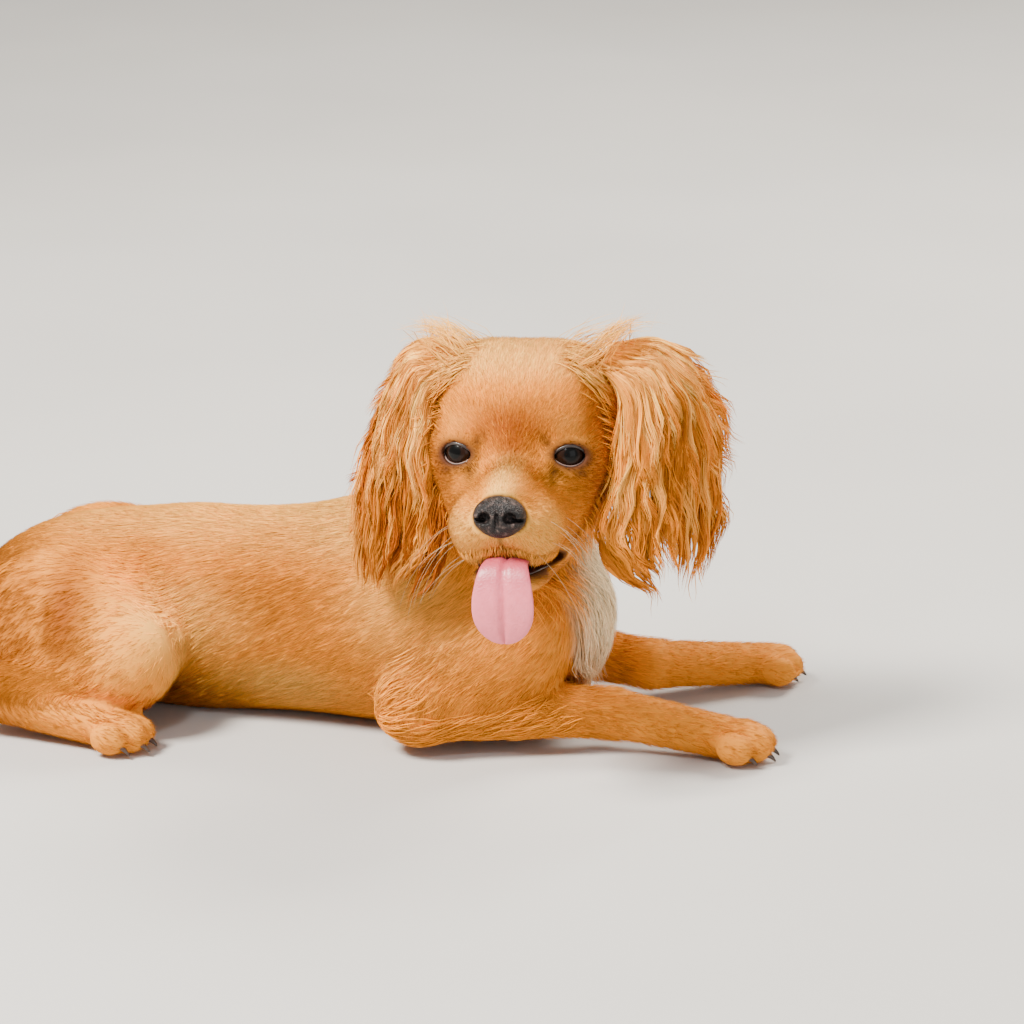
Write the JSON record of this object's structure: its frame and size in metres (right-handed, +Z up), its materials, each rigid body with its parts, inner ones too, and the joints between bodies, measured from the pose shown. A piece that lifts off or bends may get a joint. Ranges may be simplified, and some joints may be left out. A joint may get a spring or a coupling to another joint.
{
  "type": "lying dog model",
  "caption": "Life-size still model of a young ruby cavalier king charles spaniel lying on its belly, head turned to the side, tongue out.",
  "frame": {"origin": "on the floor under the middle of the trunk, on the flat that the belly rests on", "axes": "+X along the trunk towards the chest, +Y the dog's left, +Z up"},
  "size_m": [0.5425, 0.2425, 0.2246],
  "materials": {
    "coat": "golden orange dog coat, soft sheen",
    "nose": "damp pebbled leather",
    "tongue": "wet, with a groove along the middle",
    "eye": "wet gloss over a dark brown iris"
  },
  "bodies": {
    "root": {"torso": "coat", "neck": "coat", "head": "coat", "lower_jaw": "coat", "nose": "nose", "tongue": "tongue", "left_eye": "eye", "right_eye": "eye", "left_ear": "coat", "right_ear": "coat", "left_upper_arm": "coat", "left_forearm": "coat", "left_forepaw": "coat", "right_upper_arm": "coat", "right_forearm": "coat", "right_forepaw": "coat", "left_thigh": "coat", "left_shank": "coat", "left_hind_foot": "coat", "right_thigh": "coat", "right_shank": "coat", "right_hind_foot": "coat", "tail": "coat"}
  },
  "joints": []
}
